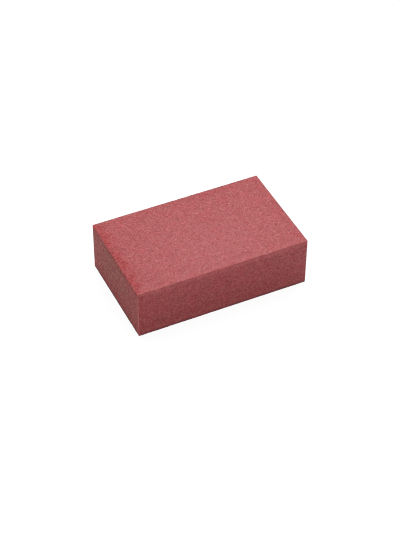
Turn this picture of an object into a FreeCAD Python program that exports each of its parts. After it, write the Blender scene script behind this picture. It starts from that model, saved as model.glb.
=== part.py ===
import FreeCAD, Part
import os

# Hand rubbing block: one pressed block of bonded abrasive grit, used in the hand to rub down
# brick, stone, tile and concrete. It is the same material right through, so it is one solid.
#
# Frame: origin at the centre of the underside, +X along the length, +Y along the width, +Z up.
# Millimetres.

LENGTH = 100.0      # along X
WIDTH = 61.2        # along Y
THICKNESS = 30.4    # along Z
ARRIS_RADIUS = 0.4  # rounding of all twelve edges; the six faces stay flat between them


def abrasive_block():
    """A right-angled block lying on its largest face, with every arris lightly rounded."""
    corner = FreeCAD.Vector(-LENGTH / 2, -WIDTH / 2, 0)
    box = Part.makeBox(LENGTH, WIDTH, THICKNESS, corner)
    block = box.makeFillet(ARRIS_RADIUS, box.Edges)
    # The fillet may return a compound around the solid.
    return block if block.ShapeType == "Solid" else block.Solids[0]


def main():
    os.makedirs("parts", exist_ok=True)
    parts = {"abrasive_block": abrasive_block()}
    for name, shape in parts.items():
        assert shape.isValid() and shape.isClosed(), name
        shape.exportStep(f"parts/{name}.step")


main()
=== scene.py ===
"""Looks for a hand rubbing block: one pressed piece of bonded abrasive.

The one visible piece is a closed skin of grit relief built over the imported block's box, with a
procedural grain material. It lies flat with +X along its length, +Y across its width to the rear
and +Z up. Lengths are in millimetres until the mesh is written; lights and floor are in metres.
"""

import math
from types import SimpleNamespace

import bpy
import numpy as np
from mathutils import Matrix, Vector
from mathutils.kdtree import KDTree


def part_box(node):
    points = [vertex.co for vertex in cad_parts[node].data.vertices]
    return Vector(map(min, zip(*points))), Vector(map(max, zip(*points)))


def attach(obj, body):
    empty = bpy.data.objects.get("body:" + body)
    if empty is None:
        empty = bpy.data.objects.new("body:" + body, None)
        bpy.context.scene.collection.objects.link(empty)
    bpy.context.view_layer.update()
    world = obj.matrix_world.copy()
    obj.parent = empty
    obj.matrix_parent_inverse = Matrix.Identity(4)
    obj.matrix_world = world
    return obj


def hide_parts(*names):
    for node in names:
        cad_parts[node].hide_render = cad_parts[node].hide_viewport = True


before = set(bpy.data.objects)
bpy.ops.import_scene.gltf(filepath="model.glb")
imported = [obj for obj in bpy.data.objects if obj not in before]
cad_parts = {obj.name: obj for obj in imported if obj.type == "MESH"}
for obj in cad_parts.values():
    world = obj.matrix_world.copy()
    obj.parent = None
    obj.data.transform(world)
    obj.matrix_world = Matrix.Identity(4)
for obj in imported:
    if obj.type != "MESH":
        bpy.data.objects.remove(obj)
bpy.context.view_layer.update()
scene = bpy.context.scene

MM = 0.001
CAD_NODE = "abrasive_block"
PIECE = "rubbing_block"
SLOT = "bonded_abrasive"
relief_rng = np.random.default_rng(649)
wear_rng = np.random.default_rng(650)

box_lo, box_hi = [np.array(corner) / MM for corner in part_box(CAD_NODE)]
centre = (box_lo + box_hi) / 2
half = (box_hi - box_lo) / 2
length, width, thick = 2 * half

# ------------------------------------------------------------------------ the smooth skin

STEP = 0.48          # mesh pitch over the flats
SHIFT = 0.34         # random shift of a point, in pitches
ARRIS = 0.42         # radius of the eased arrises
ARRIS_ROWS = 2       # rows of mesh from the flat to the middle of an arris
inner = half - ARRIS

SIDES = (  # name, axis it faces along, end of that axis (0 low, 1 high), winding turned over
    ("top", 2, 1, False),
    ("under", 2, 0, True),
    ("front", 1, 0, False),
    ("rear", 1, 1, True),
    ("left", 0, 0, True),
    ("right", 0, 1, False),
)


def mesh_lines(axis):
    """Mesh lines along an axis: even over the flat, then at equal angles round the arris."""
    flat = np.linspace(-inner[axis], inner[axis], round(2 * inner[axis] / STEP) + 1)
    angles = np.pi / 4 * np.arange(1, ARRIS_ROWS + 1) / ARRIS_ROWS
    over = inner[axis] + ARRIS * np.tan(angles)
    return np.concatenate([-over[::-1], flat, over])


def across(axis):
    """The two axes that lie in a side facing along the given axis."""
    return [other for other in range(3) if other != axis]


grid = [mesh_lines(axis) for axis in range(3)]
shape = [len(line) for line in grid]
on_skin = np.ones(shape, bool)
on_skin[1:-1, 1:-1, 1:-1] = False
ids = np.full(shape, -1)
ids[on_skin] = np.arange(on_skin.sum())
cube = np.stack(np.meshgrid(*grid, indexing="ij"), -1)[on_skin]

# Points on the flats shift in the plane, and points on an arris along it, to hide the mesh lines.
free = np.abs(cube) < inner - 0.25 * STEP
cube = cube + relief_rng.uniform(-SHIFT, SHIFT, cube.shape) * STEP * free
core = np.clip(cube, -inner, inner)
normal = cube - core
normal /= np.linalg.norm(normal, axis=1, keepdims=True)
skin = core + ARRIS * normal


def side_triangles(points, flip):
    """Two triangles for each quad of a grid of points, split along its shorter diagonal."""
    corners = [points[:-1, :-1], points[1:, :-1], points[1:, 1:], points[:-1, 1:]]
    quads = np.stack(corners, -1).reshape(-1, 4)
    if flip:
        quads = quads[:, ::-1]
    place = skin[quads]
    diagonal, other = [np.linalg.norm(place[:, a] - place[:, a + 2], axis=1) for a in (0, 1)]
    short = (diagonal <= other)[:, None]
    first = np.where(short, quads[:, [0, 1, 2]], quads[:, [0, 1, 3]])
    second = np.where(short, quads[:, [0, 2, 3]], quads[:, [1, 2, 3]])
    return np.concatenate([first, second])


by_side = [side_triangles(np.take(ids, -end, axis=axis), flip) for _, axis, end, flip in SIDES]
triangles = np.concatenate(by_side)
side_of = np.repeat(np.arange(len(SIDES)), [len(part) for part in by_side])

# Each edge lies in two triangles, once in each direction, so these are every point's neighbours.
here = triangles.ravel()
there = triangles[:, [1, 2, 0]].ravel()
neighbours = np.bincount(here, minlength=len(skin))


def smooth(field, times):
    for _ in range(times):
        mean = 0.5 * np.bincount(here, field[there], minlength=len(field)) / neighbours
        field = 0.5 * field + mean
    return field


# ------------------------------------------------------------------------ hollows

arris = np.clip((1 - np.abs(normal).max(1)) / (1 - math.sqrt(0.5)), 0, 1)  # 1 along its middle
tree = KDTree(len(skin))
for index, point in enumerate(skin):
    tree.insert(point, index)
tree.balance()


def dents(spots, count, radius, depth):
    """Rounded hollows on some of the mesh points `spots`, each a little out of round.

    Radius and depth are drawn from the given ranges."""
    places = relief_rng.choice(spots, count, replace=False)
    radii = relief_rng.uniform(*radius, count)
    depths = relief_rng.uniform(*depth, count)
    field = np.zeros(len(skin))
    for place, reach, deepest in zip(places, radii, depths):
        stretch = relief_rng.uniform(0.75, 1.3, 3)
        for _, i, _ in tree.find_range(skin[place], reach * 1.3):
            away = np.linalg.norm((skin[i] - skin[place]) * stretch) / reach
            if away < 1:
                field[i] = max(field[i], deepest * (1 - away * away) ** 1.5)
    return field


flats = np.flatnonzero(arris == 0)
edges = np.flatnonzero(arris > 0.5)
small_pits = dents(flats, 640, radius=(0.42, 0.75), depth=(0.08, 0.24))
large_pits = dents(flats, 46, radius=(0.75, 1.15), depth=(0.14, 0.32))
pits = np.maximum(small_pits, large_pits)
grains = dents(flats, 700, radius=(0.40, 0.60), depth=(0.03, 0.08))  # raised, not sunk
chips = dents(edges, 90, radius=(0.40, 0.85), depth=(0.05, 0.18))

# ------------------------------------------------------------------------ wear, dirt, dust and painted light and shade

# Each face has a band along each arris. It is paler where its strength is above nought, or left as
# a deeper red skin where it is below. Along the foot of the front and left faces the pale band is
# painted light, which offsets the shade at the foot of those faces. Bands not listed are drawn at
# random.
BANDS = {  # (face, arris it borders): (strength, middle's distance from the arris, half width)
    ("top", "left"): (-1.3, 1.6, 3.4), ("left", "top"): (-0.9, 1.2, 1.7),
    ("front", "top"): (0.75, 1.6, 1.5), ("top", "front"): (0.1, 0.0, 2.0),
    ("front", "left"): (-0.4, 1.0, 2.4), ("left", "front"): (0.1, 0.0, 2.0),
    ("top", "rear"): (-0.32, 3.0, 1.5), ("top", "right"): (-0.25, 3.2, 2.2),
    ("front", "right"): (0.1, 0.0, 2.0), ("front", "under"): (0.45, 3.0, 1.7),
    ("left", "under"): (0.2, 3.2, 1.6), ("left", "rear"): (0.1, 0.0, 2.0),
}
# Each arris also has a line. Above nought it is pale, partly rubbing and partly a painted highlight
# where the arris catches light. Below nought it is dark: along the under arrises this is dirt held
# by the dense skin with a painted contact shade, and elsewhere simply a darker line. Lines not
# listed are drawn at random.
LINE_REACH = 0.8
LINES = {  # (face, face): (strength, how far a dark line reaches on to the faces)
    ("front", "left"): (1.0, LINE_REACH), ("front", "top"): (0.2, LINE_REACH),
    ("left", "top"): (0.4, LINE_REACH), ("front", "right"): (-0.3, LINE_REACH),
    ("top", "rear"): (-0.42, 0.9), ("top", "right"): (-0.42, LINE_REACH),
    ("front", "under"): (-1.1, 1.4), ("left", "under"): (-1.15, 1.6),
    ("left", "rear"): (-0.3, LINE_REACH),
}
# Pale dust lies over each face and fades towards the arrises. On the top it is a painted sheen: a
# broad, soft reflection painted paler towards the front of the face. Below nought the face is
# duller and browner instead.
DUST_AND_SHEEN = {  # face: (middle along its two axes, in half sizes of the face, then amount)
    "top": (0.05, -0.50, 1.0),
    "front": (0.3, 0.5, 0.1),
    "left": (0.1, 0.45, -1.1),
}

gap = half - np.abs(skin)
nearest = np.argsort(gap, axis=1)
high_end = (skin > 0).astype(int)
from_arris = gap[np.arange(len(skin)), nearest[:, 1]]


def on_face(axis, end):
    return (nearest[:, 0] == axis) & (high_end[:, axis] == end)


def patches(field):
    """The field made uneven from place to place."""
    return field * np.clip(1 + field_unevenness[field is not band] * patchy, 0.3, 1.7)


band, line_strengths, reach = np.zeros(len(skin)), np.zeros(len(skin)), np.ones(len(skin))
lines = dict(LINES)
for face, axis, end, _ in SIDES:
    for border, border_axis, border_end, _ in SIDES:
        if axis == border_axis:
            continue
        drawn = (wear_rng.uniform(-0.6, 0.8), wear_rng.uniform(0.0, 1.2),
                 wear_rng.uniform(1.6, 3.0))
        strength, middle, spread = BANDS.get((face, border), drawn)
        if (border, face) not in lines:
            lines.setdefault((face, border), (wear_rng.uniform(-0.3, 0.8), LINE_REACH))
        line_strength, line_reach = lines.get((face, border), lines.get((border, face)))
        if face in ("rear", "right"):  # dark lines are weaker on these faces
            line_strength = max(line_strength, 0.35 * line_strength)
        mine = (on_face(axis, end) & (nearest[:, 1] == border_axis)
                & (high_end[:, border_axis] == border_end))
        band[mine] = strength * np.exp(-(((from_arris[mine] - middle) / spread) ** 2))
        line_strengths[mine], reach[mine] = line_strength, line_reach

dust_and_sheen = np.zeros(len(skin))
for face, axis, end, _ in SIDES:
    u_axis, v_axis = across(axis)
    drawn = (wear_rng.uniform(-0.4, 0.4), wear_rng.uniform(-0.4, 0.4),
             wear_rng.uniform(0.3, 0.8))
    at_u, at_v, amount = DUST_AND_SHEEN.get(face, drawn)
    mine = on_face(axis, end)
    spot = (((skin[mine, u_axis] / half[u_axis] - at_u) / 0.8) ** 2
            + ((skin[mine, v_axis] / half[v_axis] - at_v) / 0.9) ** 2)
    dust_and_sheen[mine] = amount * np.exp(-spot)

# Bands and lines are uneven from place to place.
patchy = smooth(wear_rng.normal(size=len(skin)), 12)
patchy = patchy / patchy.std()
field_unevenness = (0.25, 0.30)  # of the bands, of the lines
band, line_strengths = smooth(patches(band), 1), patches(line_strengths)

# ------------------------------------------------------------------------ grit relief

GRIT = (  # height, smoothing passes
    (0.030, 0),
    (0.056, 1),
    (0.024, 6),
    (0.005, 40),
    (0.006, 300),
)
SINK = 0.085         # depth of the mean surface below the nominal faces


def noise(times):
    field = smooth(relief_rng.normal(size=len(skin)), times)
    return (field - field.mean()) / field.std()


# The tallest grains are pressed flat at the nominal faces, and the arrises come truer from the
# mould than the flats do.
grit = sum(size * noise(times) for size, times in GRIT)
rub = smooth(arris, 2) * (0.018 + 0.022 * np.abs(noise(25)))
calm = 1 - 0.65 * np.exp(-((from_arris / 1.3) ** 2))
height = np.minimum((grit + grains - SINK) * calm - pits - chips - rub, 0.0)
surface = skin + height[:, None] * normal

dark_line = np.maximum(arris * 1.4, np.exp(-((from_arris / reach) ** 2)))
ATTRIBUTES = {
    "relief": np.clip((height + SINK) / (2 * SINK), -1, 1),
    "pitted": np.clip((pits + chips) / 0.16, 0, 1),
    # pale arris lines: rubbing and a painted highlight; dark ones: darker lines, with dirt and
    # painted contact shade along the under arrises
    "edge_wear_and_painted_light": np.clip(np.where(line_strengths > 0, arris * 1.4, dark_line) * line_strengths, -1, 1),
    "band": band,
    "dust_and_sheen": dust_and_sheen,
}

# ------------------------------------------------------------------------ mesh and unwrapping

# The six sides lie flat in one square, without stretch, so the grain bakes at one scale all over.
GAP = 1.5
SHEET = max(length + 2 * thick + 4 * GAP, length + width + 3 * GAP, 2 * width + thick + 4 * GAP)
PLACES = {  # side: (left, bottom, turned)
    "top": (GAP, GAP, False),
    "under": (GAP, 2 * GAP + width, False),
    "front": (GAP, 3 * GAP + 2 * width, False),
    "rear": (2 * GAP + length, GAP, True),
    "left": (2 * GAP + length, 2 * GAP + length, True),
    "right": (3 * GAP + length + thick, GAP, True),
}


def make_mesh():
    mesh = bpy.data.meshes.new(PIECE)
    mesh.vertices.add(len(surface))
    places = ((surface + centre) * MM).astype(np.float32)
    mesh.vertices.foreach_set("co", places.ravel())
    mesh.loops.add(triangles.size)
    mesh.loops.foreach_set("vertex_index", triangles.ravel().astype(np.int32))
    mesh.polygons.add(len(triangles))
    starts = np.arange(0, triangles.size, 3, dtype=np.int32)
    mesh.polygons.foreach_set("loop_start", starts)
    mesh.update(calc_edges=True)
    mesh.polygons.foreach_set("use_smooth", np.ones(len(triangles), bool))
    for label, values in ATTRIBUTES.items():
        layer = mesh.attributes.new(label, "FLOAT", "POINT")
        layer.data.foreach_set("value", values.astype(np.float32))
    mesh.update()
    return mesh


def unwrap(mesh):
    uv = np.zeros((len(triangles), 3, 2))
    for number, (name, axis, _, flip) in enumerate(SIDES):
        u_axis, v_axis = across(axis)
        mine = side_of == number
        corner = cube[triangles[mine]]
        u = corner[..., u_axis] + half[u_axis]
        v = corner[..., v_axis] + half[v_axis]
        if flip:  # seen from outside, so that no side is mirrored
            u = 2 * half[u_axis] - u
        left, bottom, turned = PLACES[name]
        if turned:
            u, v = v, 2 * half[u_axis] - u
        uv[mine] = np.stack([left + u, bottom + v], -1) / SHEET
    layer = mesh.uv_layers.new(name="OFBake")
    layer.data.foreach_set("uv", uv.astype(np.float32).ravel())


def add_object(name, data):
    made = bpy.data.objects.new(name, data)
    scene.collection.objects.link(made)
    return made


block_mesh = make_mesh()
unwrap(block_mesh)
block = add_object(PIECE, block_mesh)

# ------------------------------------------------------------------------ node helpers


class Graph:
    """Short calls for a node tree: a socket is linked, and any other value is set."""

    def __init__(self, owner):
        owner.use_nodes = True
        self.tree = owner.node_tree
        self.tree.nodes.clear()

    def node(self, kind, inputs=None, **settings):
        made = self.tree.nodes.new(kind)
        for key, value in settings.items():
            setattr(made, key, value)
        for key, value in (inputs or {}).items():
            if isinstance(value, bpy.types.NodeSocket):
                self.tree.links.new(value, made.inputs[key])
            else:
                made.inputs[key].default_value = value
        return made

    def calc(self, kind, *values, clamp=False):
        inputs = dict(enumerate(values))
        return self.node("ShaderNodeMath", inputs, operation=kind, use_clamp=clamp).outputs[0]

    def times(self, value, by):
        return self.calc("MULTIPLY", value, by)

    def above(self, value):
        """The part of a signed value above nought."""
        return self.calc("MAXIMUM", value, 0.0)

    def below(self, value):
        """The part of a signed value below nought, as a positive number."""
        return self.above(self.times(value, by=-1.0))

    def vector(self, kind, *values):
        inputs = dict(enumerate(values))
        return self.node("ShaderNodeVectorMath", inputs, operation=kind).outputs[0]

    def scaled(self, vector, by):
        inputs = {0: vector, "Scale": by}
        return self.node("ShaderNodeVectorMath", inputs, operation="SCALE").outputs[0]

    def place(self):
        """Object coordinates in millimetres."""
        return self.scaled(self.node("ShaderNodeTexCoord").outputs["Object"], by=1 / MM)

    def mix(self, factor, first, second, kind="MIX"):
        inputs = {0: factor, 6: first, 7: second}
        return self.node("ShaderNodeMix", inputs, data_type="RGBA", blend_type=kind).outputs[2]

    def multiply(self, colour, by):
        return self.mix(1.0, colour, by, "MULTIPLY")

    def tint(self, colour, mask, by, to):
        """Colour moved towards `to` by the mask times `by`."""
        return self.mix(self.times(mask, by), colour, to)

    def ramp(self, value, span=(0.0, 1.0), to=(0.0, 1.0), eased=False):
        """The span of values mapped on to the range `to`, and clamped."""
        inputs = {0: value, 1: span[0], 2: span[1], 3: to[0], 4: to[1]}
        kind = "SMOOTHSTEP" if eased else "LINEAR"
        return self.node("ShaderNodeMapRange", inputs, interpolation_type=kind).outputs[0]

    def noise(self, at, size, detail=2.0):
        return self.node("ShaderNodeTexNoise", {
            "Vector": at, "Scale": 1 / size, "Detail": detail, "Roughness": 0.5})

    def cells(self, at, size, feature="F1"):
        inputs = {"Vector": at, "Scale": 1 / size}
        return self.node("ShaderNodeTexVoronoi", inputs, feature=feature)

    def draws(self, cells):
        """Three random numbers for each cell."""
        return self.node("ShaderNodeSeparateColor", {0: cells.outputs["Color"]}).outputs

    def attribute(self, name):
        return self.node("ShaderNodeAttribute", attribute_name=name).outputs["Fac"]

    def steps(self, value, stops, deepen=1.0):
        """Value to tone by straight lines between (value, tone) stops. Green and blue go by the
        tone's power `deepen`, so a darker grain is also a deeper red and a lighter one paler."""
        ramp = self.node("ShaderNodeValToRGB", {0: value})
        elements = ramp.color_ramp.elements
        while len(elements) < len(stops):
            elements.new(1.0)
        for element, (position, level) in zip(elements, stops):
            element.position = position
            element.color = (level, level ** deepen, level ** deepen, 1)
        return ramp.outputs[0]

    def split_by_ray(self, lighting, shown):
        """One shader for the light thrown on the scene, and one for what the camera sees."""
        seen = self.node("ShaderNodeLightPath").outputs["Is Camera Ray"]
        inputs = {0: seen, 1: lighting.outputs[0], 2: shown.outputs[0]}
        return self.node("ShaderNodeMixShader", inputs)


def rgb(red, green, blue):
    return (red, green, blue, 1.0)


# ------------------------------------------------------------------------ bonded abrasive

COARSE, FINE, SPECK = 0.74, 0.33, 1.35   # cell sizes of the grains and the scattered crystals
DEEPEN = 2.2         # how much faster green and blue follow a grain's tone than red does

GRAIN_HUES = rgb(0.484, 0.0885, 0.0860), rgb(0.456, 0.0805, 0.0950)
LIGHT_GRAIN = rgb(0.76, 0.285, 0.275)
BOND = rgb(0.340, 0.036, 0.040)
PALE_CRYSTAL = rgb(0.82, 0.37, 0.36)
DARK_CRYSTAL = rgb(0.330, 0.015, 0.019)
DRIFT_HUES = rgb(0.960, 1.065, 1.020), rgb(1.032, 0.940, 0.978)   # browner, more crimson
# Pits: the bond's colour darkened with painted shade.
PIT_SHADE_AND_BOND = rgb(0.310, 0.034, 0.038)
# Arris lines: the pale one is rubbing with a painted highlight, the dark one is dirt with a painted
# contact shade.
RUBBED_AND_HIGHLIGHT = rgb(0.84, 0.24, 0.24)
GRIME_AND_SHADE = rgb(0.225, 0.062, 0.064)
# Pale bands: a paler skin, and along the foot of the front and left faces a painted light.
PALE_BAND = rgb(0.70, 0.18, 0.18)
DEEP_BAND = rgb(0.93, 0.66, 0.68)        # multiplies the colour below
# Pale dust, and on the top a painted sheen.
DUST_AND_SHEEN_COLOUR = rgb(0.92, 0.51, 0.53)
DULL = rgb(0.950, 1.11, 0.97)            # multiplies the colour below

# Spreads over a grain's random number: (number, value).
TONE = ((0.0, 0.68), (0.12, 0.86), (0.30, 0.947), (0.60, 1.0), (0.90, 1.026), (1.0, 1.043))
LIFT = ((0.0, 0.0), (0.60, 0.0), (0.90, 0.07), (1.0, 0.16))
FINE_TONE = ((0.0, 0.913), (0.5, 1.0), (1.0, 1.086))
DEEP_SPECKLE = ((0.0, 1.13), (1.0, 0.86))
DULL_TONE = ((0.0, 0.76), (0.12, 0.87), (0.30, 0.93), (0.60, 0.97), (1.0, 1.02))
SHINE = ((0.0, 0.40), (0.12, 0.66), (0.30, 0.88), (0.60, 1.02), (0.90, 1.22), (1.0, 1.42))


def grain_cells(graph, at):
    """Bent cells of two sizes, with random numbers for each grain."""
    wander = graph.noise(at, size=0.55, detail=1.0).outputs["Color"]
    shove = graph.scaled(graph.vector("SUBTRACT", wander, (0.5, 0.5, 0.5)), by=0.26)
    bent = graph.vector("ADD", at, shove)
    coarse = graph.cells(bent, COARSE)
    edge = graph.cells(bent, COARSE, "DISTANCE_TO_EDGE").outputs["Distance"]
    fine = graph.cells(bent, FINE)
    return SimpleNamespace(edge=edge, fine=fine.outputs["Distance"],
                           draw=graph.draws(coarse), draw_fine=graph.draws(fine))


def clean_colour(graph, at, cell):
    """Grains, bond and crystals before wear: the colour and masks of bond and crystals."""
    # Most grains are near the mean tone, with a light and a dark tail.
    tone = graph.steps(cell.draw[0], TONE, DEEPEN)
    lift = graph.steps(cell.draw[0], LIFT)
    tone_fine = graph.steps(cell.draw_fine[0], FINE_TONE, DEEPEN)
    colour = graph.multiply(graph.mix(cell.draw[1], *GRAIN_HUES), tone)
    colour = graph.multiply(colour, tone_fine)
    colour = graph.mix(lift, colour, LIGHT_GRAIN)

    # A deeper, more saturated red in the gaps between grains.
    bond = graph.times(graph.ramp(cell.edge, span=(0.02, 0.16), to=(1.0, 0.0), eased=True), by=0.55)
    colour = graph.mix(bond, colour, BOND)

    # Scattered crystals, each well under a millimetre.
    speck = graph.cells(at, SPECK)
    draw = graph.draws(speck)
    size = graph.ramp(draw[1], to=(0.10, 0.24))
    past = graph.calc("SUBTRACT", speck.outputs["Distance"], size)
    inside = graph.ramp(past, span=(-0.05, 0.02), to=(1.0, 0.0), eased=True)
    pale = graph.times(inside, by=graph.calc("GREATER_THAN", draw[0], 0.91))
    dark = graph.times(inside, by=graph.calc("LESS_THAN", draw[0], 0.17))
    colour = graph.tint(colour, pale, by=0.34, to=PALE_CRYSTAL)
    colour = graph.tint(colour, dark, by=0.85, to=DARK_CRYSTAL)

    # Cloudiness from mixing at two sizes, and a drift of hue.
    cloud = graph.calc("ADD", *(
        graph.ramp(graph.noise(at, size).outputs[0], span=(0.3, 0.7), to=(-depth, depth))
        for size, depth in ((3.4, 0.012), (16.0, 0.014))))
    colour = graph.multiply(colour, graph.calc("ADD", cloud, 1.0))
    drift = graph.ramp(graph.noise(at, size=4.8).outputs[0], span=(0.3, 0.7))
    colour = graph.multiply(colour, graph.mix(drift, *DRIFT_HUES))
    return colour, bond, pale, dark


def wear_and_painted_light_colour(graph, colour, draw):
    """The colour after wear and painted light and shade, with masks of the pale lines, dark lines
    and deep bands.
    """
    # Painted shade: hollows and pits are darker, as if they held less light, and pits also take the
    # bond's colour; high spots are a little paler, and the arrises are treated below.
    relief = graph.attribute("relief")
    pitted = graph.attribute("pitted")
    line = graph.attribute("edge_wear_and_painted_light")
    edge_wear_and_painted_light = graph.above(line)
    grime_and_shade = graph.times(graph.below(line), by=graph.ramp(draw[1], to=(0.60, 1.35)))
    colour = graph.multiply(colour, graph.ramp(relief, span=(-1.0, 1.0), to=(0.93, 1.07)))
    colour = graph.tint(colour, pitted, by=0.35, to=PIT_SHADE_AND_BOND)
    # Pale arris lines are rubbing and a painted highlight. Dark ones are darker lines, which are
    # dirt with a painted contact shade along the under arrises.
    colour = graph.tint(colour, edge_wear_and_painted_light, by=0.88, to=RUBBED_AND_HIGHLIGHT)
    colour = graph.tint(colour, grime_and_shade, by=0.80, to=GRIME_AND_SHADE)

    # A deeper skin shows its grains more.
    band_value = graph.attribute("band")
    pale_band = graph.above(band_value)
    deep_band = graph.below(band_value)
    # Pale bands: along the foot of the front and left faces these are painted light that offsets
    # the shade there.
    colour = graph.tint(colour, pale_band, by=0.35, to=PALE_BAND)
    colour = graph.tint(colour, deep_band, by=0.70, to=graph.multiply(colour, DEEP_BAND))
    speckled = graph.multiply(colour, graph.steps(draw[2], DEEP_SPECKLE, DEEPEN))
    colour = graph.mix(graph.calc("MINIMUM", deep_band, 1.0), colour, speckled)

    # Pale dust; on the top it is a painted broad sheen.
    dust_and_sheen_value = graph.attribute("dust_and_sheen")
    colour = graph.tint(colour, graph.above(dust_and_sheen_value), by=0.042, to=DUST_AND_SHEEN_COLOUR)
    dull = graph.below(dust_and_sheen_value)
    uneven = graph.steps(draw[0], DULL_TONE, deepen=0.3)
    browner = graph.multiply(graph.multiply(colour, DULL), uneven)
    return graph.mix(dull, colour, browner), edge_wear_and_painted_light, grime_and_shade, deep_band


def bonded_abrasive():
    """Fine grit in a red fired bond, with grains that stand proud of it."""
    material = bpy.data.materials.new(SLOT)
    graph = Graph(material)
    at = graph.place()
    cell = grain_cells(graph, at)
    draw = cell.draw
    colour, bond, pale, dark = clean_colour(graph, at, cell)
    colour, edge_wear_and_painted_light, grime_and_shade, deep_band = wear_and_painted_light_colour(graph, colour, draw)

    rough = graph.ramp(draw[2], to=(0.62, 0.80))
    rough = graph.calc("ADD", rough, graph.times(bond, by=0.16))
    rough = graph.calc("SUBTRACT", rough, graph.times(pale, by=0.22))
    rough = graph.calc("SUBTRACT", rough, graph.times(edge_wear_and_painted_light, by=0.05), clamp=True)

    # A pale grain's face glints a little, and the bond between grains is dead.
    shine = graph.steps(draw[0], SHINE)
    shine = graph.times(shine, by=graph.ramp(cell.draw_fine[1], to=(0.70, 1.30)))
    shine = graph.times(shine, by=graph.ramp(bond, span=(0.0, 0.55), to=(1.12, 0.60)))
    shine = graph.times(shine, by=graph.ramp(dark, to=(1.0, 0.30)))
    shine = graph.times(shine, by=graph.ramp(grime_and_shade, to=(1.0, 0.55)))
    gloss = graph.times(graph.ramp(shine, span=(0.0, 2.0), to=(0.50, 0.70)),
                        by=graph.ramp(deep_band, to=(1.0, 0.60)))
    sheen = graph.times(graph.calc("POWER", shine, 2.2),
                        by=graph.ramp(deep_band, to=(0.084, 0.050)))

    # Domed coarse grains, then fine grains, then tooth.
    dome = graph.ramp(cell.edge, span=(0.0, 0.30), eased=True)
    bump = graph.times(dome, by=graph.ramp(draw[2], to=(0.45, 1.0)))
    fine_dome = graph.ramp(cell.fine, span=(0.1, 0.8), to=(1.0, 0.0))
    bump = graph.calc("ADD", bump, graph.times(fine_dome, by=0.55))
    tooth = graph.noise(at, size=0.13).outputs[0]
    bump = graph.calc("ADD", bump, graph.times(tooth, by=0.45))
    bumped = graph.node("ShaderNodeBump", {
        "Strength": 0.75, "Distance": 0.055 * MM, "Height": bump}).outputs[0]

    shader = graph.node("ShaderNodeBsdfPrincipled", {
        "Base Color": colour, "Roughness": rough, "Normal": bumped, "IOR": 1.5,
        "Specular IOR Level": gloss, "Diffuse Roughness": 0.6,
        "Sheen Weight": sheen, "Sheen Roughness": 0.5})
    graph.node("ShaderNodeOutputMaterial", {"Surface": shader.outputs[0]})
    return material


block_mesh.materials.append(bonded_abrasive())
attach(block, "root")
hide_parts(CAD_NODE)

# ------------------------------------------------------------------------ floor

WHITE = rgb(1, 1, 1)
FLOOR_SIDE = 12.0
BOUNCE = 0.46, 0.82       # floor albedo for the light it throws back, at the block and away: a painted shadow near the block
BOUNCE_LEFT = 0.67, 0.69  # the same past the block's left end, lighter near it: painted light on the left end
# Warm tint of the bounce past the left end: painted warm light on that end.
WARM_LIGHT_TINT = rgb(1.0, 0.98, 0.92)
BOUNCE_SPAN = 4.0, 55.0   # distances from the block, mm, over which the bounce changes
SHADOW_TRACE = rgb(0.16, 0.16, 0.16)  # albedo that lets a faint contact shadow show


def floor_material():
    """Pale sweep: it throws light back as matt paper does, painted darker near the block and warmer
    past its left end, and it shows nearly white.
    """
    material = bpy.data.materials.new("studio_floor")
    graph = Graph(material)
    at = graph.place()
    past = graph.vector("SUBTRACT", graph.vector("ABSOLUTE", at), (half[0], half[1], 0.0))
    past = graph.vector("MAXIMUM", past, (0.0, 0.0, 0.0))
    away = graph.node("ShaderNodeVectorMath", {0: past}, operation="LENGTH").outputs["Value"]
    x = graph.node("ShaderNodeSeparateXYZ", {0: at}).outputs[0]
    left = graph.ramp(x, span=(-half[0] - 6.0, -half[0] + 2.0), to=(1.0, 0.0), eased=True)
    warm_bounce = graph.multiply(WARM_LIGHT_TINT, graph.ramp(away, BOUNCE_SPAN, to=BOUNCE_LEFT))
    albedo = graph.mix(left, graph.ramp(away, BOUNCE_SPAN, to=BOUNCE), warm_bounce)
    paper = graph.node("ShaderNodeBsdfDiffuse", {"Color": albedo})
    faint = graph.node("ShaderNodeBsdfDiffuse", {"Color": SHADOW_TRACE})
    strength = graph.ramp(away, span=(60.0, 600.0), to=(0.897, 1.02))
    glow = graph.node("ShaderNodeEmission", {"Color": WHITE, "Strength": strength})
    shown = graph.node("ShaderNodeAddShader", {0: faint.outputs[0], 1: glow.outputs[0]})
    both = graph.split_by_ray(lighting=paper, shown=shown)
    graph.node("ShaderNodeOutputMaterial", {"Surface": both.outputs[0]})
    return material


reach_out = FLOOR_SIDE / 2
floor_mesh = bpy.data.meshes.new("studio_floor")
corners = [(x * reach_out, y * reach_out, 0.0) for x, y in ((-1, -1), (1, -1), (1, 1), (-1, 1))]
floor_mesh.from_pydata(corners, [], [(0, 1, 2, 3)])
floor = add_object("studio_floor", floor_mesh)
floor_mesh.materials.append(floor_material())

# ------------------------------------------------------------------------ world and lights

AMBIENT = 0.405      # studio walls, as light
CAMERA_WHITE = 1.0   # studio walls, as seen

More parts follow.
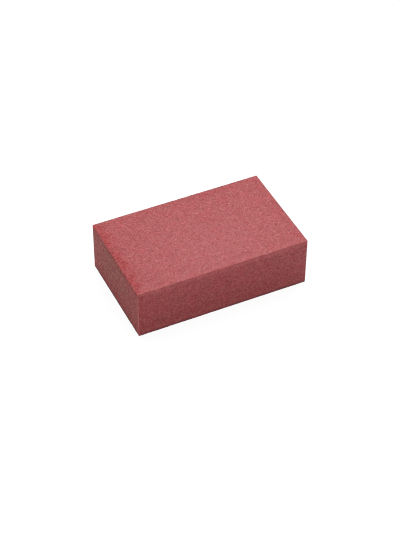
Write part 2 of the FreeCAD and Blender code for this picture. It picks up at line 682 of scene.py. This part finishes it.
world = bpy.data.worlds.new("studio")
scene.world = world
graph = Graph(world)
walls, white = [graph.node("ShaderNodeBackground", {"Color": WHITE, "Strength": strength})
                for strength in (AMBIENT, CAMERA_WHITE)]
both = graph.split_by_ray(lighting=walls, shown=white)
graph.node("ShaderNodeOutputWorld", {"Surface": both.outputs[0]})


def softbox(name, place, size, watts):
    """Square area light aimed at the origin."""
    lamp = bpy.data.lights.new(name, "AREA")
    lamp.shape = "SQUARE"
    lamp.size = size
    lamp.energy = watts
    light = add_object(name, lamp)
    light.location = place
    light.rotation_euler = Vector(place).to_track_quat("Z", "Y").to_euler()


# The key is above and behind, the fill small and low at the front.
softbox("key_softbox", place=(0.26, 0.40, 0.88), size=1.20, watts=13.5)
softbox("fill_softbox", place=(0.45, -1.10, 0.45), size=0.50, watts=1.75)

# ------------------------------------------------------------------------ camera

LENS = 107.88337     # focal length on the sensor, mm
SENSOR = 36.0
AZIMUTH, ELEVATION, ROLL = (math.radians(angle) for angle in (-25.6621, 42.7976, 0.3965))
# From the origin, in block lengths: along the camera's right, up and back.
OFFSET = Vector((0.00384382, 0.03737058, 8.8527828)) * (length * MM)

back = Vector((math.sin(AZIMUTH) * math.cos(ELEVATION),
               -math.cos(AZIMUTH) * math.cos(ELEVATION),
               math.sin(ELEVATION)))
right = Vector((math.cos(AZIMUTH), math.sin(AZIMUTH), 0.0))
up = back.cross(right)
rolled_right = math.cos(ROLL) * right + math.sin(ROLL) * up
rolled_up = -math.sin(ROLL) * right + math.cos(ROLL) * up
turn = Matrix((rolled_right, rolled_up, back)).transposed()

camera_data = bpy.data.cameras.new("camera")
camera_data.sensor_width = SENSOR
camera_data.lens = LENS
camera_data.clip_start, camera_data.clip_end = 0.01, 100.0
camera = add_object("camera", camera_data)
camera.matrix_world = Matrix.Translation(turn @ OFFSET) @ turn.to_4x4()
scene.camera = camera

scene.view_settings.view_transform = "Standard"
scene.view_settings.look = "None"
scene.cycles.filter_width = 1.1

bpy.context.view_layer.update()
